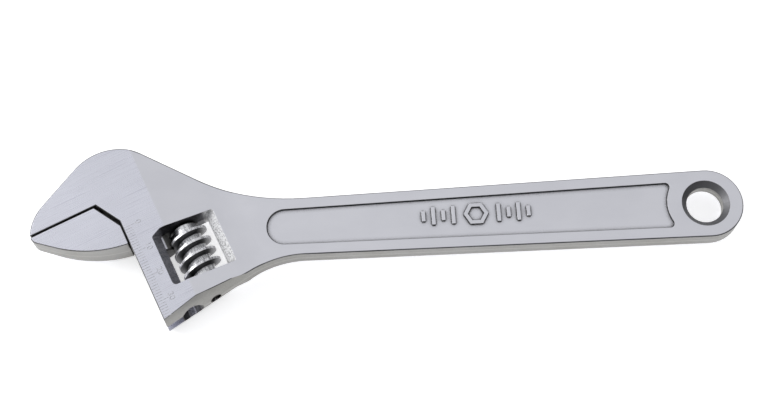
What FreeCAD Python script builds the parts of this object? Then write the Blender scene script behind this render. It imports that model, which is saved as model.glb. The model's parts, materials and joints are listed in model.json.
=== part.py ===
import FreeCAD, Part
import math
import os

# Adjustable wrench, 250 mm class, in millimetres.
#
# It is drawn flat with the hang hole's centre at X = 0, Y = 0 and the mid-plane of the forging
# at Z = 0. X runs along the handle, away from the jaws. At the end every piece is shifted, so
# that the origin is under the middle of the whole wrench, on the surface that it lies on.
#
# The head has its own coordinates. n runs from its front edge towards the handle, and q runs
# along the movable jaw's slide, in the direction in which the jaw opens. q = 0 is the zero
# mark of the jaw scale. The jaws are drawn closed.

Vector = FreeCAD.Vector

# Handle
head_reach = 204.0         # hang hole to the head's front edge, along the handle
head_offset = 1.7          # the same point, above the handle's centre line
head_angle = 22.5          # turn of the head against the handle
end_reach = 13.2           # hang hole to the handle's far end
end_radius = 12.5          # round of the far end
handle_taper = 0.78        # lean of each long edge, narrower towards the head
handle_half = 3.8          # half the thickness of the handle's rims
hole_radius = 6.5          # hang hole
hole_bevel = 2.0           # bevelled mouth of the hang hole
edge_round = 0.5           # rounded outer edges of the forging

# Sunk panel in both faces of the handle
rim_width = 3.9            # rim between the panel and the handle's long edges
panel_depth = 0.8
panel_floor_round = 0.5    # where the panel's wall meets its floor
panel_hole_rim = 13.6      # hang hole's centre to the panel's round near end
panel_head_gap = 49.5      # head's front edge to the panel's round far end
panel_corner = 1.6

# Raised mark on the panel: a nut's outline between two rows of bars
mark_centre = 81.0         # hang hole to the middle of the mark
mark_offset = 1.0          # above the handle's centre line
mark_height = 0.7          # above the panel's floor
mark_bar_width = 1.3
mark_bar_lengths = (6.6, 3.8, 6.6, 3.8)
mark_bar_spacing = 3.5
nut_across_flats = 7.6
nut_line = 1.3
nut_gap = 3.6              # nut's corner to the nearest bar's middle

# Thickness of the head, as half thicknesses at places along n
tip_half = 4.1             # at the tips of the jaws
ridge_half = 7.4           # at the ridge where the ground front meets the forged back
ridge_n = 13.2
ridge_radius = 2.0
fade_n = 36.5              # where the forged back runs out into the handle
fade_radius = 45.0

# Plan of the jaws
jaw_reach = 30.6           # front edge to the tips of both jaws
grip_q = -12.2             # where the two jaws meet
closed_gap = 0.4           # between the jaws when they are closed
jaw_travel = 30.0          # from closed to fully open
throat_slope = 60.0        # the throat's slope against the gripping faces
throat_depth = 5.4         # start of the slope, ahead of the front edge
tip_round = 0.5
tip_sharp = 2.0            # length at the tip whose edges stay sharp

# Fixed jaw's back
nose_lean = 62.0           # blunt end above the tip
nose_radius = 16.0
nose_height = 6.3          # of the blunt end, before it is rounded
back_lean = 26.0           # long back of the jaw
shoulder_n = 6.6           # where the back turns down to the handle
shoulder_radius = 19.5
nape_lean = 50.5           # straight run from the shoulder to the handle
neck_radius = 78.0

# Bottom of the head: convex from face to face, with a flat land along the mid-plane
bottom_q = 38.5            # land at the front edge
bottom_lean = 9.65         # climb of the land towards the handle
bottom_radius = 11.5       # convex part, seen along the land
bottom_land = 0.05         # depth that the land takes off the convex part
bottom_even_n = 27.0       # from here on the convex part fades out towards the handle
chin_radius = 36.0         # hollow between the head's bottom and the handle
corner_round = 0.6
bottom_edge_round = 0.3    # where the convex part meets the faces

# Movable jaw's plan
jaw_clearance = 0.25       # jaw's shoulders to the front edge
heel_q = 6.1               # lower end of the shoulders
heel_lean = 8.0            # underside where it meets the shoulders
belly_lean = 41.2          # underside towards the tip
belly_n = 14.3             # ahead of the front edge, where the two leans cross
belly_radius = 43.0
peak_n = 6.3               # end of the gripping face, ahead of the front edge
chin_lean = 80.0           # blunt end below the tip
chin_round = 4.0
jaw_edge_round = 0.5

# Slide bar and tongue of the movable jaw
bar_n = 9.8                # front edge to the bar's axis
bar_radius = 4.15
bar_top = 11.5             # upper end of the bar, above the zero mark
bar_bottom = 13.2          # lower end of the bar, below the zero mark
bar_chamfer = 0.5
tongue_half = 2.3
tongue_root = 4.6          # how far the tongue reaches into the jaw
tongue_top = 0.9           # upper end of the tongue, above the zero mark
tongue_inset = 0.8         # the tongue's front behind the front edge, below the jaw
slide_clearance = 0.2      # round the bar and beside the tongue
slide_end_clearance = 0.6  # above the bar and above the tongue

# Worm
worm_radius = 7.2
thread_depth = 2.9
thread_foot = 0.35         # thread's foot inside the core
thread_pitch = 4.2
crest_width = 0.9
flank_lean = 14.5
mesh_depth = 2.0           # how deep the thread reaches into the bar
mesh_q = 7.8               # where one turn of the thread meets the bar
mesh_backlash = 0.2        # on each flank
mesh_clearance = 0.25      # beyond the thread's crest
worm_end_clearance = 0.3
thread_start = 1.4         # upper end of the core to where the thread begins
thread_stop = 0.5          # lower end of the core to where the thread ends

# Window for the worm
window_top = 6.7
window_length = 20.4
window_front_clearance = 1.5    # worm to the front wall
window_back_clearance = 1.65    # worm to the back wall
window_front_bevel = 4.3   # height above the mid-plane where the front wall's bevel starts
window_back_bevel = 1.8    # the same for the back wall
window_bevel_lean = 1.0    # across per unit of height
window_top_lean = 0.14
window_chamfer_n = 3.9     # corner next to the bar, across the slide
window_chamfer_q = 1.7     # the same corner, along the slide
window_corner = 1.0
window_low_corner = 1.6    # lower corner at the front

# Worm pin
pin_radius = 1.7
pin_clearance = 0.08       # in the worm
pin_seat = 6.0             # length held above the window
pin_head_radius = 2.1
pin_head_length = 3.0
pin_sink = 1.2             # head below the bottom of the head
pin_slot_width = 0.7
pin_slot_depth = 0.9

# Spring in the worm's lower end
spring_wire = 0.55
spring_clearance = 0.15    # wire to the pin and to the pocket
spring_turns = 4.5
spring_sides = 8           # flats on the wire
spring_gap = 0.1           # spring's upper end to the pocket's floor
pocket_depth = 6.0

# Drawing
overcut = 1.0              # how far a cutting tool reaches beyond the metal
touch = 1e-3               # points closer than this are one point

# Directions of the head
TILT = math.radians(head_angle)
N = Vector(math.cos(TILT), math.sin(TILT), 0)
Q = Vector(math.sin(TILT), -math.cos(TILT), 0)
UP = Vector(0, 0, 1)
N_ANGLE = head_angle
Q_ANGLE = head_angle - 90
SPAN = head_reach + jaw_reach + end_reach

# Sizes that follow from the ones above
fixed_face_q = grip_q - closed_gap / 2
moving_face_q = grip_q + closed_gap / 2
worm_n = bar_n + bar_radius + worm_radius - mesh_depth
window_bottom = window_top + window_length
worm_top = window_top + worm_end_clearance
worm_bottom = window_bottom - worm_end_clearance
core_radius = worm_radius - thread_depth
worm_bore = pin_radius + pin_clearance
spring_radius = pin_radius + spring_clearance + spring_wire / 2
pocket_radius = spring_radius + spring_wire / 2 + spring_clearance
bore_radius = bar_radius + slide_clearance
pin_low = bottom_q - worm_n * math.tan(math.radians(bottom_lean)) - pin_sink


def head(n, q, z=0.0):
    """Point given in the head's coordinates."""
    return Vector(-head_reach, head_offset, z) + N * n + Q * q


def direction(angle):
    """Unit vector of the plan, at an angle in degrees from +X."""
    return Vector(math.cos(math.radians(angle)), math.sin(math.radians(angle)), 0)


def meet(point_a, angle_a, point_b, angle_b):
    """Point where two lines of the plan cross, each given by a point and an angle."""
    along = direction(angle_a)
    across = direction(angle_b + 90)
    return point_a + along * ((point_b - point_a).dot(across) / along.dot(across))


def rounded_wire(corners):
    """Closed wire of straight runs and tangent arcs, from (corner, radius) pairs."""
    edges = []
    first = last = None
    for index, (corner, radius) in enumerate(corners):
        before = (corners[index - 1][0] - corner).normalize()
        after = (corners[(index + 1) % len(corners)][0] - corner).normalize()
        half = before.getAngle(after) / 2
        start = corner + before * (radius / math.tan(half))
        end = corner + after * (radius / math.tan(half))
        if last is None:
            first = start
        elif (start - last).Length > touch:
            edges.append(Part.LineSegment(last, start).toShape())
        if radius > 0:
            inward = (before + after).normalize()
            middle = corner + inward * (radius / math.sin(half) - radius)
            edges.append(Part.Arc(start, middle, end).toShape())
        last = end
    if (first - last).Length > touch:
        edges.append(Part.LineSegment(last, first).toShape())
    return Part.Wire(edges)


def slab(wire, half):
    """Prism of a plan outline, through the mid-plane."""
    face = Part.Face(wire)
    face.translate(UP * -half)
    return face.extrude(UP * (2 * half))


def handle_edge(side, inset=0.0):
    """Point and angle of a long edge of the handle, side +1 or -1, moved in by inset."""
    angle = side * handle_taper
    centre = Vector(end_reach - end_radius, 0, 0)
    return centre + direction(angle + side * 90) * (end_radius - inset), angle


def bottom_at(n):
    """Position along q of the land on the bottom of the head, so far from the front edge."""
    return bottom_q - n * math.tan(math.radians(bottom_lean))


def body_corners():
    """Outline of the forging: handle, neck, fixed jaw, front edge and bottom of the head."""
    end = Vector(end_reach, 0, 0)
    top = handle_edge(+1)
    bottom = handle_edge(-1)
    tip = head(-jaw_reach, fixed_face_q)
    nose = tip + direction(N_ANGLE + nose_lean) * (nose_height / math.sin(math.radians(nose_lean)))
    shoulder_line = head(shoulder_n, 0)
    shoulder = meet(nose, N_ANGLE + back_lean, shoulder_line, Q_ANGLE)
    throat_foot = fixed_face_q + throat_depth * math.tan(math.radians(throat_slope))
    return [
        (meet(end, 90, *bottom), end_radius),
        (meet(end, 90, *top), end_radius),
        (meet(*top, shoulder, N_ANGLE - nape_lean), neck_radius),
        (shoulder, shoulder_radius),
        (nose, nose_radius),
        (tip, tip_round),
        (head(-throat_depth, fixed_face_q), 0),
        (head(0, throat_foot), corner_round),
        (head(0, bottom_q), corner_round),
        (meet(head(0, bottom_q), N_ANGLE + bottom_lean, *bottom), chin_radius),
    ]


def thickness_envelope():
    """Everything between the two faces of the wrench, far beyond its outline."""
    slope = (ridge_half - tip_half) / (ridge_n + jaw_reach)
    front = -jaw_reach - overcut
    upper = [
        (front, ridge_half - slope * (ridge_n - front), 0),
        (ridge_n, ridge_half, ridge_radius),
        (fade_n, handle_half, fade_radius),
        (SPAN, handle_half, 0),
    ]
    lower = [(n, -half, radius) for n, half, radius in reversed(upper)]
    corners = [(head(n, -SPAN, z), radius) for n, z, radius in upper + lower]
    return Part.Face(rounded_wire(corners)).extrude(Q * (2 * SPAN))


def edges_near(shape, test):
    """Edges of a shape whose middle passes a test."""
    found = []
    for edge in shape.Edges:
        middle = edge.valueAt((edge.FirstParameter + edge.LastParameter) / 2)
        if test(edge, middle):
            found.append(edge)
    return found


def is_upright(edge):
    """True for an edge that runs straight up through the forging."""
    box = edge.BoundBox
    return box.ZLength > 10 * max(box.XLength, box.YLength)


def sunk_panel():
    """Tool that sinks the panel into the upper face of the handle."""
    top_point, top_angle = handle_edge(+1, rim_width)
    bottom_point, bottom_angle = handle_edge(-1, rim_width)
    near = Vector(0, 0, 0)
    far = Vector(panel_head_gap - head_reach, 0, 0)
    far_half = meet(far, 90, top_point, top_angle).y
    lean = math.radians(handle_taper)
    far_radius = far_half * math.cos(lean) / (1 + math.sin(lean))
    outline = rounded_wire([
        (meet(near, 90, bottom_point, bottom_angle), 0),
        (meet(near, 90, top_point, top_angle), 0),
        (meet(far, 90, top_point, top_angle), far_radius),
        (meet(far, 90, bottom_point, bottom_angle), far_radius),
    ])
    floor = handle_half - panel_depth
    block = Part.Face(outline)
    block.translate(UP * floor)
    block = block.extrude(UP * (2 * panel_depth))
    hub = Part.makeCylinder(panel_hole_rim, 2 * panel_depth, UP * floor)
    block = block.cut(hub)
    block = block.makeFillet(panel_corner, edges_near(
        block, lambda edge, middle: is_upright(edge) and middle.x > far.x / 2))
    return block.makeFillet(panel_floor_round, edges_near(
        block, lambda edge, middle: edge.BoundBox.ZMax < floor + touch))


def raised_mark():
    """Nut outline and bars standing on the upper panel's floor, left of the hang hole."""
    floor = handle_half - panel_depth
    middle = Vector(-mark_centre, mark_offset, floor)

    def hexagon(across_flats):
        corner = across_flats / math.sqrt(3)
        points = [middle + direction(60 * side) * corner for side in range(6)]
        return Part.Face(Part.makePolygon(points + points[:1])).extrude(UP * mark_height)

    pieces = [hexagon(nut_across_flats).cut(hexagon(nut_across_flats - 2 * nut_line))]
    first = nut_across_flats / math.sqrt(3) + nut_gap
    for side in (-1, 1):
        for index, length in enumerate(mark_bar_lengths):
            x = side * (first + index * mark_bar_spacing)
            corner = middle + Vector(x - mark_bar_width / 2, -length / 2, 0)
            pieces.append(Part.makeBox(mark_bar_width, length, mark_height, corner))
    return pieces


def mirrored(shape):
    """The same shape on the lower face."""
    return shape.mirror(Vector(0, 0, 0), UP)


def window():
    """Opening for the worm, whose front, back and top walls lean out towards both faces."""
    def section(z):
        front_bevel = window_bevel_lean * max(0, z - window_front_bevel)
        back_bevel = window_bevel_lean * max(0, z - window_back_bevel)
        front = worm_n - worm_radius - window_front_clearance - front_bevel
        back = worm_n + worm_radius + window_back_clearance + back_bevel
        top = window_top - window_top_lean * z
        return rounded_wire([
            (head(front, top + window_chamfer_q, z), window_corner),
            (head(front + window_chamfer_n, top, z), window_corner),
            (head(back, top, z), window_corner),
            (head(back, window_bottom, z), window_corner),
            (head(front, window_bottom, z), window_low_corner),
        ])

    heights = (0, window_back_bevel, window_front_bevel, ridge_half + overcut)
    upper = Part.makeLoft([section(z) for z in heights], True, True)
    return [upper, mirrored(upper)]


def convex_bottom():
    """Tool that rounds the bottom of the head from face to face and fades out at the handle."""
    reach = ridge_half + overcut
    corner = meet(head(0, bottom_q), N_ANGLE + bottom_lean, *handle_edge(-1))
    turn = math.radians(head_angle + bottom_lean + handle_taper)
    hollow = chin_radius * math.tan(turn / 2) * math.cos(math.radians(bottom_lean))
    end_n = (corner - head(0, 0)).dot(N) - hollow
    fall = bottom_radius - math.sqrt(bottom_radius ** 2 - reach ** 2)

    def section(n, drop):
        crest = bottom_at(n) + bottom_land
        low = head(n, crest - drop, -reach)
        high = head(n, crest - drop, reach)
        far = [head(n, bottom_q + overcut, side * reach) for side in (1, -1)]
        lines = [(high, far[0]), (far[0], far[1]), (far[1], low)]
        arc = Part.Arc(low, head(n, crest, 0), high).toShape()
        return Part.Wire([arc] + [Part.LineSegment(*ends).toShape() for ends in lines])

    sections = [section(-overcut, fall), section(bottom_even_n, fall), section(end_n, bottom_land / 2)]
    return Part.makeLoft(sections, True, True)


def on_bottom_rim(edge, middle):
    """Test for the edges where the convex bottom of the head meets the faces."""
    offset = middle - head(0, 0)
    n = offset.dot(N)
    below_window = offset.dot(Q) > window_bottom + overcut
    return corner_round < n < bottom_even_n and below_window and abs(middle.z) > bar_radius


def slide_space():
    """Bore for the bar and slot for the tongue, open at the bottom of the head."""
    length = bottom_q + bar_top + slide_end_clearance + overcut
    bore = Part.makeCylinder(bore_radius, length, head(bar_n, -bar_top - slide_end_clearance), Q)
    half = tongue_half + slide_clearance
    top = -tongue_top - slide_end_clearance
    corners = [head(-overcut, top, -half), head(bar_n, top, -half),
               head(bar_n, top, half), head(-overcut, top, half)]
    slot = Part.Face(Part.makePolygon(corners + corners[:1])).extrude(Q * length)
    return [bore, slot]


def pin_space():
    """Hole for the worm pin, from the bottom of the head through both window walls."""
    head_top = pin_low - pin_head_length
    shank = Part.makeCylinder(pin_radius, head_top - window_top + pin_seat,
                              head(worm_n, window_top - pin_seat), Q)
    sunk = Part.makeCylinder(pin_head_radius, pin_head_length + pin_sink + overcut,
                             head(worm_n, head_top), Q)
    return [shank, sunk]


def on_forged_edge(outline):
    """Test for the rims of the handle, the jaw's back and the head's bottom."""
    def test(edge, middle):
        if is_upright(edge):
            return False
        flat = Part.Vertex(Vector(middle.x, middle.y, 0))
        if flat.distToShape(outline)[0] > touch:
            return False
        offset = middle - head(0, 0)
        n = offset.dot(N)
        q = offset.dot(Q)
        on_front = n < corner_round + touch and q > fixed_face_q - touch
        on_nose = n < -jaw_reach + tip_sharp
        return not on_front and not on_nose
    return test


def make_body():
    """Forged handle with the fixed jaw."""
    outline = rounded_wire(body_corners())
    shape = slab(outline, ridge_half + overcut).common(thickness_envelope())
    shape = shape.makeFillet(edge_round, edges_near(shape, on_forged_edge(outline)))
    shape = shape.cut(convex_bottom())
    shape = shape.makeFillet(bottom_edge_round, edges_near(shape, on_bottom_rim))
    through = handle_half + overcut
    shape = shape.cut(Part.makeCylinder(hole_radius, 2 * through, UP * -through))
    shape = shape.makeChamfer(hole_bevel, edges_near(
        shape, lambda edge, middle: abs(middle.Length - math.hypot(hole_radius, handle_half)) < touch))
    panel = sunk_panel()
    marks = raised_mark()
    shape = shape.cut([panel, mirrored(panel)])
    shape = shape.fuse(marks + [mirrored(mark) for mark in marks])
    return shape.cut(window() + slide_space() + pin_space()).Solids[0]


def jaw_corners():
    """Outline of the movable jaw ahead of the front edge."""
    tip = head(-jaw_reach, moving_face_q)
    peak = head(-peak_n, moving_face_q)
    shoulders = head(-jaw_clearance, 0)
    heel = head(-jaw_clearance, heel_q)
    belly = meet(heel, N_ANGLE - heel_lean, head(-belly_n, 0), Q_ANGLE)
    return [
        (tip, tip_round),
        (peak, tip_round),
        (meet(peak, N_ANGLE - throat_slope, shoulders, Q_ANGLE), tip_round),
        (heel, tip_round),
        (belly, belly_radius),
        (meet(belly, N_ANGLE - belly_lean, tip, N_ANGLE - chin_lean), chin_round),
    ]


def tooth_space(q):
    """Ring groove that clears one turn of the worm's thread where it meets the bar."""
    reach = worm_radius + mesh_clearance
    distance = worm_n - bar_n
    cosine = (distance ** 2 + reach ** 2 - bar_radius ** 2) / (2 * distance * reach)
    helix_rise = thread_pitch * math.degrees(math.acos(cosine)) / 360
    inner = distance - bar_radius - overcut
    crest_half = crest_width / 2 + helix_rise + mesh_backlash
    inner_half = crest_half + (worm_radius - inner) * math.tan(math.radians(flank_lean))
    corners = [
        head(worm_n - inner, q - inner_half),
        head(worm_n - worm_radius, q - crest_half),
        head(worm_n - reach, q - crest_half),
        head(worm_n - reach, q + crest_half),
        head(worm_n - worm_radius, q + crest_half),
        head(worm_n - inner, q + inner_half),
    ]
    return Part.Face(Part.makePolygon(corners + corners[:1])).revolve(head(worm_n, 0), Q, 360)


def make_jaw():
    """Movable jaw with its tongue and the toothed slide bar."""
    outline = rounded_wire(jaw_corners())
    plate = slab(outline, ridge_half + overcut).common(thickness_envelope()).Solids[0]

    def on_underside(edge, middle):
        if is_upright(edge):
            return False
        flat = Part.Vertex(Vector(middle.x, middle.y, 0))
        offset = middle - head(0, 0)
        ahead = -jaw_reach + chin_round / 2 < offset.dot(N) < -jaw_clearance - touch
        below = offset.dot(Q) > moving_face_q + 2 * tip_round
        on_slope = flat.distToShape(slope_edge)[0] < touch
        return ahead and below and not on_slope and flat.distToShape(outline)[0] < touch

    peak = head(-peak_n, moving_face_q)
    foot = meet(peak, N_ANGLE - throat_slope, head(-jaw_clearance, 0), Q_ANGLE)
    slope_edge = Part.LineSegment(peak, foot).toShape()
    plate = plate.makeFillet(jaw_edge_round, edges_near(plate, on_underside))
    root = -tongue_root
    corners = [
        head(root, -tongue_top, -tongue_half),
        head(bar_n, -tongue_top, -tongue_half),
        head(bar_n, bar_bottom, -tongue_half),
        head(tongue_inset, bar_bottom, -tongue_half),
        head(tongue_inset, heel_q - tip_round, -tongue_half),
        head(root, heel_q - tongue_root, -tongue_half),
    ]
    tongue = Part.Face(Part.makePolygon(corners + corners[:1])).extrude(UP * (2 * tongue_half))
    bar = Part.makeCylinder(bar_radius, bar_top + bar_bottom, head(bar_n, -bar_top), Q)
    bar = bar.makeChamfer(bar_chamfer, [edge for edge in bar.Edges if edge.Closed])
    half_groove = thread_pitch / 2
    first = math.ceil((-bar_top - half_groove - mesh_q) / thread_pitch)
    last = math.floor((bar_bottom + half_groove - mesh_q) / thread_pitch)
    spaces = [tooth_space(mesh_q + turn * thread_pitch) for turn in range(first, last + 1)]
    return plate.fuse([tongue, bar]).cut(spaces).Solids[0]


def along_worm(shape):
    """Place a piece drawn along Z on the worm's axis: Z to the fixed jaw, X to the slide bar."""
    shape.Placement = FreeCAD.Placement(head(worm_n, 0), FreeCAD.Rotation(N * -1, UP, Q * -1, "ZXY"))
    return shape


def swept_coil(pitch, turns, radius, section, start):
    """Solid of a closed section swept along a right-handed helix about Z, from a height."""
    path = Part.makeHelix(pitch, pitch * turns, radius)
    path.translate(UP * start)
    return Part.Wire(path.Edges).makePipeShell([section], True, True)


def make_worm():
    """Knurled worm: a core with one right-handed thread, its bore and the spring's pocket."""
    turns_below = math.ceil((worm_bottom - mesh_q) / thread_pitch) + 1
    start = -mesh_q - turns_below * thread_pitch
    turns = math.ceil((-worm_top - start) / thread_pitch) + 1
    root = core_radius - thread_foot
    root_half = crest_width / 2 + (worm_radius - root) * math.tan(math.radians(flank_lean))
    corners = [
        Vector(root, 0, start - root_half),
        Vector(worm_radius, 0, start - crest_width / 2),
        Vector(worm_radius, 0, start + crest_width / 2),
        Vector(root, 0, start + root_half),
    ]
    section = Part.makePolygon(corners + corners[:1])
    thread = swept_coil(thread_pitch, turns, worm_radius, section, start)
    thread_low = -worm_bottom + thread_stop
    thread_high = -worm_top - thread_start
    keep = Part.makeCylinder(worm_radius + overcut, thread_high - thread_low, UP * thread_low)
    core = Part.makeCylinder(core_radius, worm_bottom - worm_top, UP * -worm_bottom)
    bore = Part.makeCylinder(worm_bore, worm_bottom - worm_top, UP * -worm_bottom)
    pocket = Part.makeCylinder(pocket_radius, pocket_depth, UP * -worm_bottom)
    shape = core.fuse(thread.common(keep)).cut([bore, pocket])
    return along_worm(shape.Solids[0])


def make_pin():
    """Pin through the worm, screwed in from the bottom of the head, with a slotted head."""
    head_low = -pin_low
    head_top = head_low + pin_head_length
    end = -window_top + pin_seat
    shank = Part.makeCylinder(pin_radius, end - head_top, UP * head_top)
    pin_head = Part.makeCylinder(pin_head_radius, pin_head_length, UP * head_low)
    across = pin_head_radius + overcut
    corner = Vector(-across, -pin_slot_width / 2, head_low)
    slot = Part.makeBox(2 * across, pin_slot_width, pin_slot_depth, corner)
    return along_worm(shank.fuse(pin_head).cut(slot).Solids[0])


def make_spring():
    """Coil spring that takes up the worm's end play."""
    low = -window_bottom + spring_wire / 2
    high = -worm_bottom + pocket_depth - spring_gap - spring_wire / 2
    centre = Vector(spring_radius, 0, low)
    points = []
    for side in range(spring_sides):
        turn = 2 * math.pi * (side + 0.5) / spring_sides
        points.append(centre + Vector(math.cos(turn), 0, math.sin(turn)) * (spring_wire / 2))
    section = Part.makePolygon(points + points[:1])
    pitch = (high - low) / spring_turns
    return along_worm(swept_coil(pitch, spring_turns, spring_radius, section, low))


pieces = {
    "wrench_body": make_body(),
    "movable_jaw": make_jaw(),
    "worm_screw": make_worm(),
    "worm_pin": make_pin(),
    "worm_spring": make_spring(),
}

# Move the origin under the middle of the wrench's box.
box = Part.makeCompound(list(pieces.values())).optimalBoundingBox(False, False)
origin = Vector(box.Center.x, box.Center.y, box.ZMin)
os.makedirs("parts", exist_ok=True)
for name, shape in pieces.items():
    shape.translate(origin * -1)
    shape.exportStep("parts/" + name + ".step")
    print(name, shape.ShapeType, "valid", shape.isValid(), "volume", round(shape.Volume, 1))
print("size", [round(length, 2) for length in (box.XLength, box.YLength, box.ZLength)])
print("hang hole at", [round(value, 4) for value in origin * -1])
print("worm axis at", [round(value, 4) for value in head(worm_n, 0) - origin])
print("jaw slides along", [round(value, 6) for value in Q])
print("jaw travel", jaw_travel)
grip_middle = head(-(jaw_reach + peak_n) / 2, grip_q) - origin
print("gripping line at", [round(value, 4) for value in grip_middle])
print("hang hole radius", hole_radius)
print("hang hole wall", round(2 * (handle_half - hole_bevel), 4), "long")
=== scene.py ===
# %% [markdown]
# # Finishing an adjustable wrench
# The wrench is one forging with a fixed jaw, a sliding jaw, a worm, its pin and a small spring.
# Their shapes come from a fixed frame, and this lesson gives them their finish: ground and
# plated steel, a bright worm, a rolled scale and the thin line that the forging dies left.
# Everything is in metres, and the wrench lies flat on the floor with its head to the left.

# %% Load the frame
import json
import math

import bmesh
import bpy
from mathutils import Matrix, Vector


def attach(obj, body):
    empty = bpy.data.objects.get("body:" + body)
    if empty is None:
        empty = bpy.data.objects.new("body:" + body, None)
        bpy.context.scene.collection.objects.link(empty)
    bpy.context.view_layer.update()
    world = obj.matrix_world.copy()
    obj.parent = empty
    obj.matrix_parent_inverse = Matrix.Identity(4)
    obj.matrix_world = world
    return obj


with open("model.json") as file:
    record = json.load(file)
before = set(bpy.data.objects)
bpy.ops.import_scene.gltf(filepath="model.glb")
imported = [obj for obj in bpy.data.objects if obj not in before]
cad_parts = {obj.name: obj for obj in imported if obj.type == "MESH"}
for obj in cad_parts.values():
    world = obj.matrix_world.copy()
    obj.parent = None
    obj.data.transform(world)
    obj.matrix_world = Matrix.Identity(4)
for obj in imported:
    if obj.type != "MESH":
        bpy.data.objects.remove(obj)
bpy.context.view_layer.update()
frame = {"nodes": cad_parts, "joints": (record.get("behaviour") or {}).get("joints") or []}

# %% [markdown]
# ## Where the head lies
# The head is turned against the handle, and much of its finish follows its own directions: the
# grinding lines run along the jaw faces, and the scale runs along the slide. The frame's joints
# already know these directions, so they are read from there and not typed in again. The zero
# mark is the point on the front edge level with the worm joint's point.

# %% Directions of the head
joints = {joint["name"]: joint for joint in frame["joints"]}
opening = Vector(joints["jaw_slide"]["axis"]).normalized()
inward = Vector((-opening.y, opening.x, 0.0))
head_turn = math.atan2(inward.y, inward.x)

EDGE_TO_WORM = 0.01915
worm_point = Vector(joints["worm_turn"]["pos_m"])
zero_mark = worm_point - inward * EDGE_TO_WORM


def on_head(n, q, z=0.0):
    """Point n in from the front edge, q along the opening direction, z above the mid-plane."""
    return zero_mark + inward * n + opening * q + Vector((0, 0, z))


print("head turned by", round(math.degrees(head_turn), 2), "degrees")

# %% [markdown]
# ## Building blocks for finishes
# A finish is a small tree of shader nodes. Three wishes come back in every metal here: noise
# that is stretched into grinding lines, a ramp that turns noise into a range of values, and a
# bump that turns noise into fine relief. A short function for each keeps the finishes readable,
# and so does one for each kind of sum.

# %% Node helpers
def add_node(tree, kind, **settings):
    """Add a shader node and set its properties."""
    node = tree.nodes.new("ShaderNode" + kind)
    for name, value in settings.items():
        setattr(node, name, value)
    return node


def feed(tree, socket, value):
    """Put a number, a colour or another node's output on a socket."""
    if isinstance(value, bpy.types.NodeSocket):
        tree.links.new(value, socket)
    else:
        socket.default_value = value


def arithmetic(tree, operation, first, second=0.0):
    """Result of a math node."""
    node = add_node(tree, "Math", operation=operation)
    feed(tree, node.inputs[0], first)
    feed(tree, node.inputs[1], second)
    return node.outputs[0]


def times(tree, first, second):
    """Product of two values."""
    return arithmetic(tree, "MULTIPLY", first, second)


def rest_of(tree, value):
    """One less the value."""
    return arithmetic(tree, "SUBTRACT", 1.0, value)


def spread(tree, value, low, high, to_low=0.0, to_high=1.0):
    """Value between low and high, mapped smoothly to another range and held at its ends."""
    node = add_node(tree, "MapRange", interpolation_type="SMOOTHSTEP")
    settings = {"Value": value, "From Min": low, "From Max": high, "To Min": to_low, "To Max": to_high}
    for name, setting in settings.items():
        feed(tree, node.inputs[name], setting)
    return node.outputs["Result"]


def blend(tree, factor, first, second):
    """Number between two others."""
    node = add_node(tree, "Mix", data_type="FLOAT")
    feed(tree, node.inputs["Factor"], factor)
    feed(tree, node.inputs["A"], first)
    feed(tree, node.inputs["B"], second)
    return node.outputs["Result"]


def blend_colours(tree, factor, first, second):
    """Colour between two others, each of three parts or from another node."""
    node = add_node(tree, "Mix", data_type="RGBA")
    feed(tree, node.inputs["Factor"], factor)
    for socket, colour in (("A", first), ("B", second)):
        is_plain = isinstance(colour, tuple)
        feed(tree, node.inputs[socket], (*colour, 1.0) if is_plain else colour)
    return node.outputs["Result"]


def grain(tree, place, per_mm, detail=3.0):
    """Noise whose lumps number so many per millimetre along X, Y and Z of a place."""
    scaling = add_node(tree, "Mapping", vector_type="POINT")
    scaling.inputs["Scale"].default_value = [1000 * count for count in per_mm]
    feed(tree, scaling.inputs["Vector"], place)
    noise = add_node(tree, "TexNoise")
    noise.inputs["Scale"].default_value = 1.0
    noise.inputs["Detail"].default_value = detail
    feed(tree, noise.inputs["Vector"], scaling.outputs["Vector"])
    return noise.outputs["Fac"]


def relief(tree, height, depth_mm, below=None):
    """Bump of a height map, so many millimetres deep, on top of another normal."""
    bump = add_node(tree, "Bump")
    bump.inputs["Strength"].default_value = 1.0
    bump.inputs["Distance"].default_value = depth_mm / 1000
    feed(tree, bump.inputs["Height"], height)
    if below is not None:
        feed(tree, bump.inputs["Normal"], below)
    return bump.outputs["Normal"]


# %% [markdown]
# ## Places on the metal
# The finish changes over one piece of steel: ground on the front of the head, satin behind it
# and on the handle, and the raw skin of the forging on the sides. The same object coordinates
# are read twice, once along the handle and once in the head's own turned directions, and the
# direction in which a surface faces tells faces from sides.

# %% Places and facings
def start_finish(name, colour, roughness, metallic=1.0):
    """New material with its tree and its shader."""
    material = bpy.data.materials.new(name)
    material.use_nodes = True
    tree = material.node_tree
    shader = tree.nodes["Principled BSDF"]
    shader.inputs["Base Color"].default_value = (*colour, 1.0)
    shader.inputs["Roughness"].default_value = roughness
    shader.inputs["Metallic"].default_value = metallic
    material.diffuse_color = (*colour, 1.0)
    return material, tree, shader


def places(tree):
    """Coordinates along the handle, the same along the head, and how far a surface faces up."""
    coordinates = add_node(tree, "TexCoord")
    along_handle = coordinates.outputs["Object"]
    turned = add_node(tree, "Mapping", vector_type="TEXTURE")
    turned.inputs["Location"].default_value = zero_mark
    turned.inputs["Rotation"].default_value = (0, 0, head_turn)
    feed(tree, turned.inputs["Vector"], along_handle)
    facing = add_node(tree, "SeparateXYZ")
    feed(tree, facing.inputs[0], coordinates.outputs["Normal"])
    up = arithmetic(tree, "ABSOLUTE", facing.outputs["Z"])
    return along_handle, turned.outputs["Vector"], up


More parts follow.
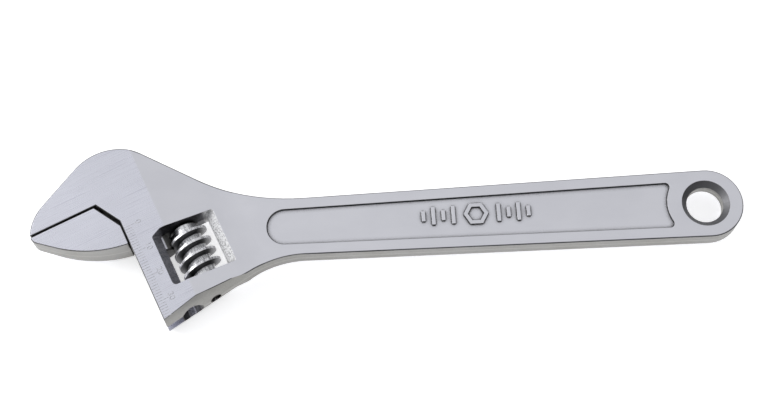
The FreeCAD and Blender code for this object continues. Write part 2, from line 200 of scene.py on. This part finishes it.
# %% [markdown]
# ## Corners and edges
# Corners and narrow gaps get a painted shade: the shader darkens them by how much of the
# surroundings a spot can see, standing for the shade that falls there. Plating rounds edges a
# little, which a bevelled normal shows without any more mesh.

# %% Corners and edges
def sheltered(tree, reach_mm, open_from, closed_at):
    """Painted shade mask: one in corners and narrow gaps, nought where the surface lies open."""
    shelter = add_node(tree, "AmbientOcclusion", samples=6)
    shelter.inputs["Distance"].default_value = reach_mm / 1000
    return spread(tree, shelter.outputs["AO"], closed_at, open_from, 1.0, 0.0)


def eased_normal(tree, radius_mm):
    """Normal that rounds sharp edges over a small radius, as plating does."""
    bevel = add_node(tree, "Bevel", samples=4)
    bevel.inputs["Radius"].default_value = radius_mm / 1000
    return bevel.outputs["Normal"]


def inside(tree, value, low, high, edge=0.0001):
    """One between low and high, nought outside."""
    rising = spread(tree, value, low - edge, low + edge)
    falling = spread(tree, value, high - edge, high + edge, 1.0, 0.0)
    return times(tree, rising, falling)


# %% [markdown]
# ## Grain of the plated steel
# A wrench of this kind is plated with satin nickel and chrome. The plating is thin, so what is
# under it shows. The front of the head was ground on a wheel, which leaves fine lines and a few
# long scratches along the jaw faces. The rest of the forging was blasted and then brushed
# lightly along the handle. Large, faint clouds stand for uneven plating.

# %% Grain of the plated steel
FINE_LINES_PER_MM = (0.05, 9.0, 1.0)
SCRATCHES_PER_MM = (0.035, 2.2, 0.5)
BLASTED_PER_MM = (5.0, 5.0, 5.0)
BRUSHED_PER_MM = (0.12, 6.0, 1.0)
CLOUDS_PER_MM = (0.06, 0.09, 0.09)
SCRATCH_DEPTH = 0.8


def steel_grain(tree, along_handle, on_turned):
    """The noises that the plated surfaces share, by name."""
    fine_lines = grain(tree, on_turned, FINE_LINES_PER_MM, detail=5.0)
    long_scratches = grain(tree, on_turned, SCRATCHES_PER_MM, detail=2.0)
    scratch = spread(tree, long_scratches, 0.58, 0.68)
    return {
        "scratch": scratch,
        "lines": arithmetic(tree, "ADD", fine_lines, times(tree, scratch, SCRATCH_DEPTH)),
        "blasted": grain(tree, along_handle, BLASTED_PER_MM, detail=4.0),
        "brushed": grain(tree, along_handle, BRUSHED_PER_MM, detail=4.0),
        "clouds": grain(tree, along_handle, CLOUDS_PER_MM),
    }


# %% [markdown]
# ## Tone of the faces
# The ground front is a little bluer and brighter than the satin behind it, and each long
# scratch is a darker line. The two meet at the ridge across the head, where the wheel stopped.

# %% Tone of the faces
RIDGE_IN = 0.0132
RIDGE_SOFTNESS = 0.0002
PLATE_COLOUR = (0.72, 0.725, 0.79)
SATIN_COLOUR = (0.735, 0.735, 0.77)
SCRATCH_COLOUR = (0.47, 0.47, 0.53)
SCRATCH_SHARE = 0.6


def face_tone(tree, noises, is_ground):
    """Colour of the upper and the lower face."""
    tone = blend_colours(tree, is_ground, SATIN_COLOUR, PLATE_COLOUR)
    scratched = times(tree, noises["scratch"], times(tree, is_ground, SCRATCH_SHARE))
    return blend_colours(tree, scratched, tone, SCRATCH_COLOUR)


# %% [markdown]
# ## Tone of the sides
# The sides keep the skin of the forging, warmer and rougher than the faces. Along the middle
# runs the thin bright line where the dies met and the flash was trimmed. Rounded edges mirror
# the dark side of the room, so a dark painted reflection is put on them, on the handle over more
# of their round than on the head, whose bottom is curved itself. The hang hole's bevelled mouth
# gets a milder grey painted reflection.

# %% Tone of the sides
SIDE_COLOUR = (0.34, 0.335, 0.315)
BLOTCH_COLOUR = (0.25, 0.245, 0.235)
BLOTCH_SHARE = 0.35
PARTING_COLOUR = (0.62, 0.61, 0.58)
PARTING_HALF = 0.00035
PARTING_SHARE = 0.35
# Painted reflection of the dark room on the rounded edges, milder at the hang hole's mouth.
EDGE_REFLECTION_COLOUR = (0.07, 0.07, 0.075)
HANDLE_FROM, HANDLE_FULL = 0.050, 0.056
HEAD_FLATTEST, HANDLE_FLATTEST = 0.66, 0.25
MOUTH_REFLECTION_COLOUR = (0.17, 0.17, 0.175)
HOLE_FROM_ZERO = (0.204, -0.0017, 0.0)
HOLE_REACH = 0.0100


def rounded_edges(tree, apart, up):
    """One on the rounded edges, nought on the faces and on the plain sides."""
    on_handle = spread(tree, apart.outputs["X"], HANDLE_FROM, HANDLE_FULL)
    flattest = spread(tree, on_handle, 0.0, 1.0, HEAD_FLATTEST, HANDLE_FLATTEST)
    is_leaning = arithmetic(tree, "GREATER_THAN", up, flattest)
    return times(tree, is_leaning, spread(tree, up, 0.95, 0.98, 1.0, 0.0))


def around_hole(tree, along_handle):
    """One near the hang hole."""
    from_hole = add_node(tree, "VectorMath", operation="DISTANCE")
    feed(tree, from_hole.inputs[0], along_handle)
    from_hole.inputs[1].default_value = zero_mark + Vector(HOLE_FROM_ZERO)
    return arithmetic(tree, "LESS_THAN", from_hole.outputs["Value"], HOLE_REACH)


def side_tone(tree, noises, along_handle, apart, up):
    """Colour of the sides, with a painted reflection on the rounded edges and the hole's mouth."""
    blotches = spread(tree, noises["blasted"], 0.3, 0.7, 0.0, BLOTCH_SHARE)
    tone = blend_colours(tree, blotches, SIDE_COLOUR, BLOTCH_COLOUR)
    height = arithmetic(tree, "ABSOLUTE", apart.outputs["Z"])
    parting = spread(tree, height, 0.6 * PARTING_HALF, PARTING_HALF, PARTING_SHARE, 0.0)
    tone = blend_colours(tree, parting, tone, PARTING_COLOUR)
    at_hole = around_hole(tree, along_handle)
    # Painted reflection on the rounded edges and the hole's mouth.
    edge_reflection_tone = blend_colours(tree, at_hole, EDGE_REFLECTION_COLOUR, MOUTH_REFLECTION_COLOUR)
    return blend_colours(tree, rounded_edges(tree, apart, up), tone, edge_reflection_tone)


# %% [markdown]
# ## The window's walls
# The window was punched and its bevels were milled afterwards. Its front bevel is dull, its
# upright walls deep in the window get a near-black painted shade, and its back bevel is bright
# and chalky with coarse grain. Each wall is found by how far it lies in from the front edge and
# along the slide.

# %% The window's walls
WINDOW_FRONT, WINDOW_BACK = 0.0070, 0.0325
WINDOW_TOP, WINDOW_BOTTOM = 0.0045, 0.0285
WALL_SHADE_FROM, WALL_SHADE_FULL = 0.0104, 0.0120
CLEAN_FROM, CLEAN_FULL = 0.0264, 0.0284
BEVEL_COLOUR = (0.30, 0.30, 0.33)
# Painted shade, near black, on the upright walls deep in the window.
WALL_SHADE_COLOUR = (0.05, 0.05, 0.055)
CLEAN_COLOUR = (0.97, 0.97, 0.97)
PIT_COLOUR = (0.12, 0.12, 0.13)
PIT_SHARE = 0.5
COARSE_PER_MM = (1.6, 1.6, 1.6)


def window_skin(tree, along_handle, apart):
    """Colour of the window's walls with painted shade on the upright ones, where they are, and where
    the clean back bevel is.
    """
    across, along = apart.outputs["X"], apart.outputs["Y"]
    in_window = times(tree, inside(tree, across, WINDOW_FRONT, WINDOW_BACK),
                      inside(tree, along, -WINDOW_BOTTOM, -WINDOW_TOP))
    to_wall_shade = spread(tree, across, WALL_SHADE_FROM, WALL_SHADE_FULL)
    to_clean = spread(tree, across, CLEAN_FROM, CLEAN_FULL)
    # Painted shade on the upright walls.
    tone = blend_colours(tree, to_wall_shade, BEVEL_COLOUR, WALL_SHADE_COLOUR)
    tone = blend_colours(tree, to_clean, tone, CLEAN_COLOUR)
    pits = spread(tree, grain(tree, along_handle, COARSE_PER_MM), 0.46, 0.62, 0.0, PIT_SHARE)
    tone = blend_colours(tree, pits, tone, PIT_COLOUR)
    return tone, in_window, times(tree, to_clean, in_window)


# %% [markdown]
# ## Plated steel of the forging and the jaw
# One function makes both finishes, because the jaw is ground together with the head. The
# forging adds its window's walls. The jaw adds its slide bar, painted near black as a painted shade.
# Gloss and relief follow the same grain as the colour: long lines on the ground front, an even
# grain on the satin, and a duller skin on the sides.

# %% Plated steel
BAR_FRONT, BAR_BACK = 0.0030, 0.0180
# Painted shade on the slide bar, near black.
BAR_SHADE_COLOUR = (0.10, 0.098, 0.094)
CHALK_SHARE = 0.8
CLOUD_COLOUR = (0.56, 0.56, 0.60)
CLOUD_SHARE = 0.16
# Painted shade: corners and gaps of the steel are darkened towards near black.
PAINTED_SHADE_COLOUR = (0.035, 0.033, 0.032)
PAINTED_SHADE_SHARE = 0.95
PAINTED_SHADE_REACH_MM = 1.8
EASE_MM = 0.18
SATIN_DEPTH_MM = 0.018
GROUND_DEPTH_MM = 0.008


def plate_gloss(tree, noises, is_face, is_ground):
    """Roughness of the ground front, the satin faces and the sides."""
    ground = spread(tree, noises["lines"], 0.3, 1.0, 0.26, 0.40)
    satin = spread(tree, noises["blasted"], 0.3, 0.7, 0.32, 0.44)
    side = spread(tree, noises["blasted"], 0.3, 0.7, 0.42, 0.60)
    return blend(tree, is_face, side, blend(tree, is_ground, satin, ground))


def plate_relief(tree, noises, is_ground):
    """Normal with the satin's grain, the ground lines and eased edges."""
    satin = arithmetic(tree, "ADD", noises["blasted"], noises["brushed"])
    satin = times(tree, satin, rest_of(tree, is_ground))
    ground = times(tree, noises["lines"], is_ground)
    normal = relief(tree, satin, SATIN_DEPTH_MM, eased_normal(tree, EASE_MM))
    return relief(tree, ground, GROUND_DEPTH_MM, normal)


def plated_steel(name, has_window):
    """Satin plate on steel, ground ahead of the ridge, with window walls or a slide bar."""
    material, tree, shader = start_finish(name, SATIN_COLOUR, 0.34)
    along_handle, on_turned, up = places(tree)
    apart = add_node(tree, "SeparateXYZ")
    feed(tree, apart.inputs[0], on_turned)
    across = apart.outputs["X"]
    noises = steel_grain(tree, along_handle, on_turned)

    is_face = spread(tree, up, 0.93, 0.985)
    is_ahead = spread(tree, across, RIDGE_IN - RIDGE_SOFTNESS, RIDGE_IN + RIDGE_SOFTNESS, 1.0, 0.0)
    is_ground = times(tree, is_face, is_ahead)

    sides = side_tone(tree, noises, along_handle, apart, up)
    if has_window:
        skin, in_window, is_clean = window_skin(tree, along_handle, apart)
        sides = blend_colours(tree, in_window, sides, skin)
        chalky = times(tree, times(tree, is_clean, rest_of(tree, is_face)), CHALK_SHARE)
        feed(tree, shader.inputs["Metallic"], rest_of(tree, chalky))
    else:
        # Painted shade: the slide bar is painted near black.
        on_bar = inside(tree, across, BAR_FRONT, BAR_BACK)
        sides = blend_colours(tree, on_bar, sides, BAR_SHADE_COLOUR)
    tone = blend_colours(tree, is_face, sides, face_tone(tree, noises, is_ground))
    cloudy = spread(tree, noises["clouds"], 0.3, 0.7, 0.0, CLOUD_SHARE)
    tone = blend_colours(tree, cloudy, tone, CLOUD_COLOUR)
    # Painted shade in corners and narrow gaps.
    corner_darkening = times(tree, sheltered(tree, PAINTED_SHADE_REACH_MM, 0.86, 0.76), PAINTED_SHADE_SHARE)
    tone = blend_colours(tree, corner_darkening, tone, PAINTED_SHADE_COLOUR)

    feed(tree, shader.inputs["Base Color"], tone)
    feed(tree, shader.inputs["Roughness"], plate_gloss(tree, noises, is_face, is_ground))
    feed(tree, shader.inputs["Normal"], plate_relief(tree, noises, is_ground))
    return material


def dress(node, material):
    """Give a frame node its finish."""
    slots = frame["nodes"][node].material_slots
    slots[0].material = material
    print("finish", material.name, "on", node)


dress("wrench_body", plated_steel("satin_forging_finish", has_window=True))
dress("movable_jaw", plated_steel("ground_jaw_finish", has_window=False))

# %% [markdown]
# ## Bright worm
# The worm is turned and then plated bright. What keeps it from looking like a computer's chrome
# is the tool that cut it: fine rings round the axis, short chatter marks along it and an uneven
# gloss. The flanks get a painted shade and a painted dark reflection, darkest at the core, and
# the corners under the crests a painted shade. Core, flank and crest are told apart by their
# distance from the worm's axis.

# %% Bright worm
WORM_OUTER = 0.0072
WORM_CORE = 0.0043
CORE_EDGE = 0.00025
CREST_EDGE = 0.0001
# Painted shade and painted dark reflection on the thread's flanks, from the root to the crest.
FLANK_ROOT_SHADE_COLOUR = (0.02, 0.02, 0.022)
FLANK_CREST_SHADE_COLOUR = (0.30, 0.30, 0.31)
POLISHED_COLOUR = (0.96, 0.96, 0.97)
STREAK_COLOUR = (0.34, 0.34, 0.36)
# Painted shade in the worm's corners, under the crests.
WORM_PAINTED_SHADE_COLOUR = (0.03, 0.027, 0.025)
WORM_PAINTED_SHADE_SHARE = 0.7
WORM_PAINTED_SHADE_REACH_MM = 1.6
RINGS_PER_MM = (0.15, 11.0, 0.15)
CHATTER_PER_MM = (3.2, 0.5, 3.2)
SPECKS_PER_MM = (2.5, 2.5, 2.5)
WORM_EASE_MM = 0.12
RING_DEPTH_MM = 0.006


def distance_from_axis(tree, on_turned):
    """Distance of a place from the worm's axis."""
    flattened = add_node(tree, "VectorMath", operation="MULTIPLY")
    flattened.inputs[1].default_value = (1, 0, 1)
    feed(tree, flattened.inputs[0], on_turned)
    offset = add_node(tree, "VectorMath", operation="DISTANCE")
    offset.inputs[1].default_value = (EDGE_TO_WORM, 0, 0)
    feed(tree, offset.inputs[0], flattened.outputs["Vector"])
    return offset.outputs["Value"]


def flank_tone(tree, axis_distance):
    """Painted shade on the thread's flanks, darkest at the core, and where the flanks are."""
    on_flank = inside(tree, axis_distance, WORM_CORE + CORE_EDGE, WORM_OUTER - CREST_EDGE)
    to_crest = spread(tree, axis_distance, WORM_CORE, WORM_OUTER)
    return blend_colours(tree, to_crest, FLANK_ROOT_SHADE_COLOUR, FLANK_CREST_SHADE_COLOUR), on_flank


def bright_plate():
    """Chrome on the core and the crests, painted shade on the flanks and in the corners."""
    material, tree, shader = start_finish("bright_worm_finish", (0.80, 0.80, 0.81), 0.2)
    along_handle, on_turned, _ = places(tree)
    rings = grain(tree, on_turned, RINGS_PER_MM, detail=4.0)
    chatter = grain(tree, on_turned, CHATTER_PER_MM, detail=2.0)
    specks = grain(tree, along_handle, SPECKS_PER_MM)
    streaks = arithmetic(tree, "ADD", times(tree, rings, 0.5), times(tree, chatter, 0.5))
    streaks = spread(tree, streaks, 0.46, 0.60)
    bright = blend_colours(tree, streaks, POLISHED_COLOUR, STREAK_COLOUR)
    flank, on_flank = flank_tone(tree, distance_from_axis(tree, on_turned))
    tone = blend_colours(tree, on_flank, bright, flank)
    # Painted shade where the flanks meet the core.
    corner_darkening = times(tree, sheltered(tree, WORM_PAINTED_SHADE_REACH_MM, 0.80, 0.40), WORM_PAINTED_SHADE_SHARE)
    tone = blend_colours(tree, corner_darkening, tone, WORM_PAINTED_SHADE_COLOUR)
    normal = relief(tree, rings, RING_DEPTH_MM, eased_normal(tree, WORM_EASE_MM))
    feed(tree, shader.inputs["Base Color"], tone)
    feed(tree, shader.inputs["Roughness"], spread(tree, specks, 0.35, 0.7, 0.34, 0.46))
    feed(tree, shader.inputs["Normal"], normal)
    return material


dress("worm_screw", bright_plate())

# %% [markdown]
# ## Pin and spring
# The pin and the spring are bare steel. They are hardly seen, but the pin's slotted end and the
# spring's coils show brown and dark in the gap under the worm, so they are a warm, oily steel.

# %% Pin and spring
OILY_SHARE = 0.45
TURNING_PER_MM = (0.2, 8.0, 0.2)
TURNING_DEPTH_MM = 0.008
FILM_PER_MM = (0.8, 0.8, 0.8)
FILM_GLOSS = 0.12


def oiled_steel(name, colour, roughness):
    """Bare steel with a film of oil."""
    material, tree, shader = start_finish(name, colour, roughness)
    along_handle, on_turned, _ = places(tree)
    turning = grain(tree, on_turned, TURNING_PER_MM)
    film = grain(tree, along_handle, FILM_PER_MM, detail=4.0)
    oily = tuple(OILY_SHARE * part for part in colour)
    tone = blend_colours(tree, spread(tree, film, 0.4, 0.65), colour, oily)
    gloss = spread(tree, film, 0.3, 0.7, roughness, roughness - FILM_GLOSS)
    feed(tree, shader.inputs["Base Color"], tone)
    feed(tree, shader.inputs["Roughness"], gloss)
    feed(tree, shader.inputs["Normal"], relief(tree, turning, TURNING_DEPTH_MM))
    return material


dress("worm_pin", oiled_steel("steel_pin_finish", (0.42, 0.38, 0.34), 0.36))
dress("worm_spring", oiled_steel("spring_wire_finish", (0.36, 0.30, 0.25), 0.40))

# %% [markdown]
# ## The jaw scale
# A millimetre rule is rolled into both faces along the front edge, so that the user can set
# the jaw before it meets the nut. The marks are shallow and slightly darker than the metal.
# Each one is a thin strip that hugs the sloping face: a short line for each millimetre, a long
# one for every ten up to thirty, and a number beside each long line. A few short lines go on
# beyond thirty, to the bottom of the head.

# %% Scale
SCALE_END = 36
NUMBERED_MARKS = (0, 10, 20, 30)
TICK_START = 0.0004
TICK_END = 0.0031
LONG_TICK_END = 0.0047
TICK_WIDTH = 0.00022
MARK_LIFT = 0.000006
EDGE_HALF = 0.0064
RIDGE_HALF = 0.0074
NUMBER_IN = 0.0058
NUMBER_HEIGHT = 0.0021
FONT_SIZE_PER_HEIGHT = 1.4
MARK_COLOUR = (0.46, 0.46, 0.49)
MARK_DARK_COLOUR = (0.34, 0.34, 0.37)
MARK_WORN_COLOUR = (0.58, 0.58, 0.61)
WORN_PER_MM = (1.5, 1.5, 1.5)


def face_height(n):
    """Height of the ground face above the mid-plane, so far in from the front edge."""
    return EDGE_HALF + (RIDGE_HALF - EDGE_HALF) * n / RIDGE_IN


def mark_metal():
    """Slightly darker, rougher steel in the bottom of the rolled marks."""
    material, tree, shader = start_finish("rolled_mark_finish", MARK_COLOUR, 0.5)
    along_handle, _, _ = places(tree)
    worn = spread(tree, grain(tree, along_handle, WORN_PER_MM), 0.35, 0.65)
    tone = blend_colours(tree, worn, MARK_DARK_COLOUR, MARK_WORN_COLOUR)
    feed(tree, shader.inputs["Base Color"], tone)
    return material


def add_tick(builder, q, end, side):
    """Strip across the face at one millimetre of the rule."""
    corners = []
    for n, shift in ((TICK_START, -0.5), (end, -0.5), (end, 0.5), (TICK_START, 0.5)):
        place = on_head(n, q + shift * TICK_WIDTH, side * (face_height(n) + MARK_LIFT))
        corners.append(builder.verts.new(place))
    builder.faces.new(corners if side < 0 else corners[::-1])


def add_number(builder, text, q, side):
    """Number drawn by the font, laid on the face with its foot towards the front edge."""
    curve = bpy.data.curves.new("number", "FONT")
    curve.body = text
    curve.size = NUMBER_HEIGHT * FONT_SIZE_PER_HEIGHT
    curve.align_x = "CENTER"
    writer = bpy.data.objects.new("number", curve)
    flat = bpy.data.meshes.new_from_object(writer)
    corners = []
    for vertex in flat.vertices:
        across, along = vertex.co.y, vertex.co.x
        n = NUMBER_IN - NUMBER_HEIGHT / 2 + across
        place = on_head(n, q + side * along, side * (face_height(n) + MARK_LIFT))
        corners.append(builder.verts.new(place))
    for polygon in flat.polygons:
        builder.faces.new([corners[index] for index in polygon.vertices])
    bpy.data.objects.remove(writer)
    bpy.data.curves.remove(curve)
    bpy.data.meshes.remove(flat)


def make_scale():
    """Both faces' rules as one piece that rides on the forging."""
    builder = bmesh.new()
    for side in (1, -1):
        for mark in range(SCALE_END + 1):
            end = LONG_TICK_END if mark in NUMBERED_MARKS else TICK_END
            add_tick(builder, mark / 1000, end, side)
        for mark in NUMBERED_MARKS:
            add_number(builder, str(mark), mark / 1000, side)
    mesh = bpy.data.meshes.new("jaw_scale")
    builder.to_mesh(mesh)
    builder.free()
    scale = bpy.data.objects.new("jaw_scale", mesh)
    bpy.context.scene.collection.objects.link(scale)
    mesh.materials.append(mark_metal())
    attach(scale, "frame")
    print("scale with", len(mesh.polygons), "faces")


make_scale()

# %% [markdown]
# ## Floor
# A plain white sweep that glows faintly stands for a lit studio table. It hides every horizon,
# and the soft shadow on it is the only sign of where the wrench lies.

# %% Floor
FLOOR_SIZE = 6.0
FLOOR_COLOUR = (0.90, 0.90, 0.90)
FLOOR_GLOW = 0.55


def make_floor():
    """White sweep under the wrench."""
    mesh = bpy.data.meshes.new("floor")
    builder = bmesh.new()
    bmesh.ops.create_grid(builder, x_segments=1, y_segments=1, size=FLOOR_SIZE / 2)
    builder.to_mesh(mesh)
    builder.free()
    floor = bpy.data.objects.new("floor", mesh)
    bpy.context.scene.collection.objects.link(floor)
    material, _, shader = start_finish("white_sweep", FLOOR_COLOUR, 0.9, metallic=0.0)
    shader.inputs["Emission Color"].default_value = (1.0, 1.0, 1.0, 1.0)
    shader.inputs["Emission Strength"].default_value = FLOOR_GLOW
    mesh.materials.append(material)


make_floor()

# %% [markdown]
# ## Light
# Steel shows what it mirrors, so the light is a large, even one. One soft light stands on the
# upper left. The sky is bright overhead and on the left, and dark on the right and towards the
# viewer: that is what draws the dark line along every rounded lower edge.

# %% Light
KEY_PLACE = (-1.5, 0.5, 0.9)
KEY_SIZE = 0.9
KEY_POWER = 14
SKY_OVERHEAD = 0.78
SKY_LEFT = 0.95
SKY_RIGHT = 0.16
SKY_VIEWER = 0.10
SKY_COLOUR = (0.96, 0.97, 1.0)


def make_key_light():
    """Square area light that looks at the wrench."""
    light = bpy.data.lights.new("key", "AREA")
    light.size = KEY_SIZE
    light.energy = KEY_POWER
    lamp = bpy.data.objects.new("key", light)
    lamp.location = KEY_PLACE
    lamp.rotation_mode = "QUATERNION"
    lamp.rotation_quaternion = (-Vector(KEY_PLACE)).to_track_quat("-Z", "Y")
    bpy.context.scene.collection.objects.link(lamp)


def make_sky():
    """Studio sky: bright overhead and on the left, dark near the horizon on the viewer's side."""
    world = bpy.data.worlds.new("studio")
    world.use_nodes = True
    tree = world.node_tree
    coordinates = add_node(tree, "TexCoord")
    apart = add_node(tree, "SeparateXYZ")
    feed(tree, apart.inputs[0], coordinates.outputs["Generated"])
    from_right = spread(tree, apart.outputs["X"], -0.5, 0.6, SKY_LEFT, SKY_RIGHT)
    from_viewer = spread(tree, apart.outputs["Y"], -0.75, 0.1, SKY_VIEWER, 1.0)
    overhead = spread(tree, apart.outputs["Z"], 0.25, 0.75)
    brightness = blend(tree, overhead, times(tree, from_right, from_viewer), SKY_OVERHEAD)
    background = tree.nodes["Background"]
    feed(tree, background.inputs["Strength"], brightness)
    background.inputs["Color"].default_value = (*SKY_COLOUR, 1.0)
    bpy.context.scene.world = world


make_key_light()
make_sky()

# %% [markdown]
# ## Camera
# The camera looks steeply down from the front, a little from the left, so that the faces, the
# lower sides and the mouths in the bottom of the head are all seen. Its target is measured from
# the zero mark, because that point stays put when the outline of the handle changes.

# %% Camera
CAMERA_AZIMUTH = math.radians(-3.45)
CAMERA_ELEVATION = math.radians(68.86)
CAMERA_DISTANCE = 0.496
CAMERA_LENS = 64.9
SENSOR_WIDTH = 36
TARGET_FROM_ZERO = (0.0926, 0.0053, 0.0)


def make_camera():
    """Camera that looks steeply down on the wrench, a little off its middle."""
    data = bpy.data.cameras.new("camera")
    data.lens = CAMERA_LENS
    data.sensor_width = SENSOR_WIDTH
    camera = bpy.data.objects.new("camera", data)
    back = Vector((
        math.sin(CAMERA_AZIMUTH) * math.cos(CAMERA_ELEVATION),
        -math.cos(CAMERA_AZIMUTH) * math.cos(CAMERA_ELEVATION),
        math.sin(CAMERA_ELEVATION),
    ))
    camera.location = zero_mark + Vector(TARGET_FROM_ZERO) + back * CAMERA_DISTANCE
    camera.rotation_mode = "QUATERNION"
    camera.rotation_quaternion = (-back).to_track_quat("-Z", "Y")
    bpy.context.scene.collection.objects.link(camera)
    bpy.context.scene.camera = camera
    print("camera at", [round(part, 3) for part in camera.location])


make_camera()
bpy.context.scene.view_settings.view_transform = "Standard"
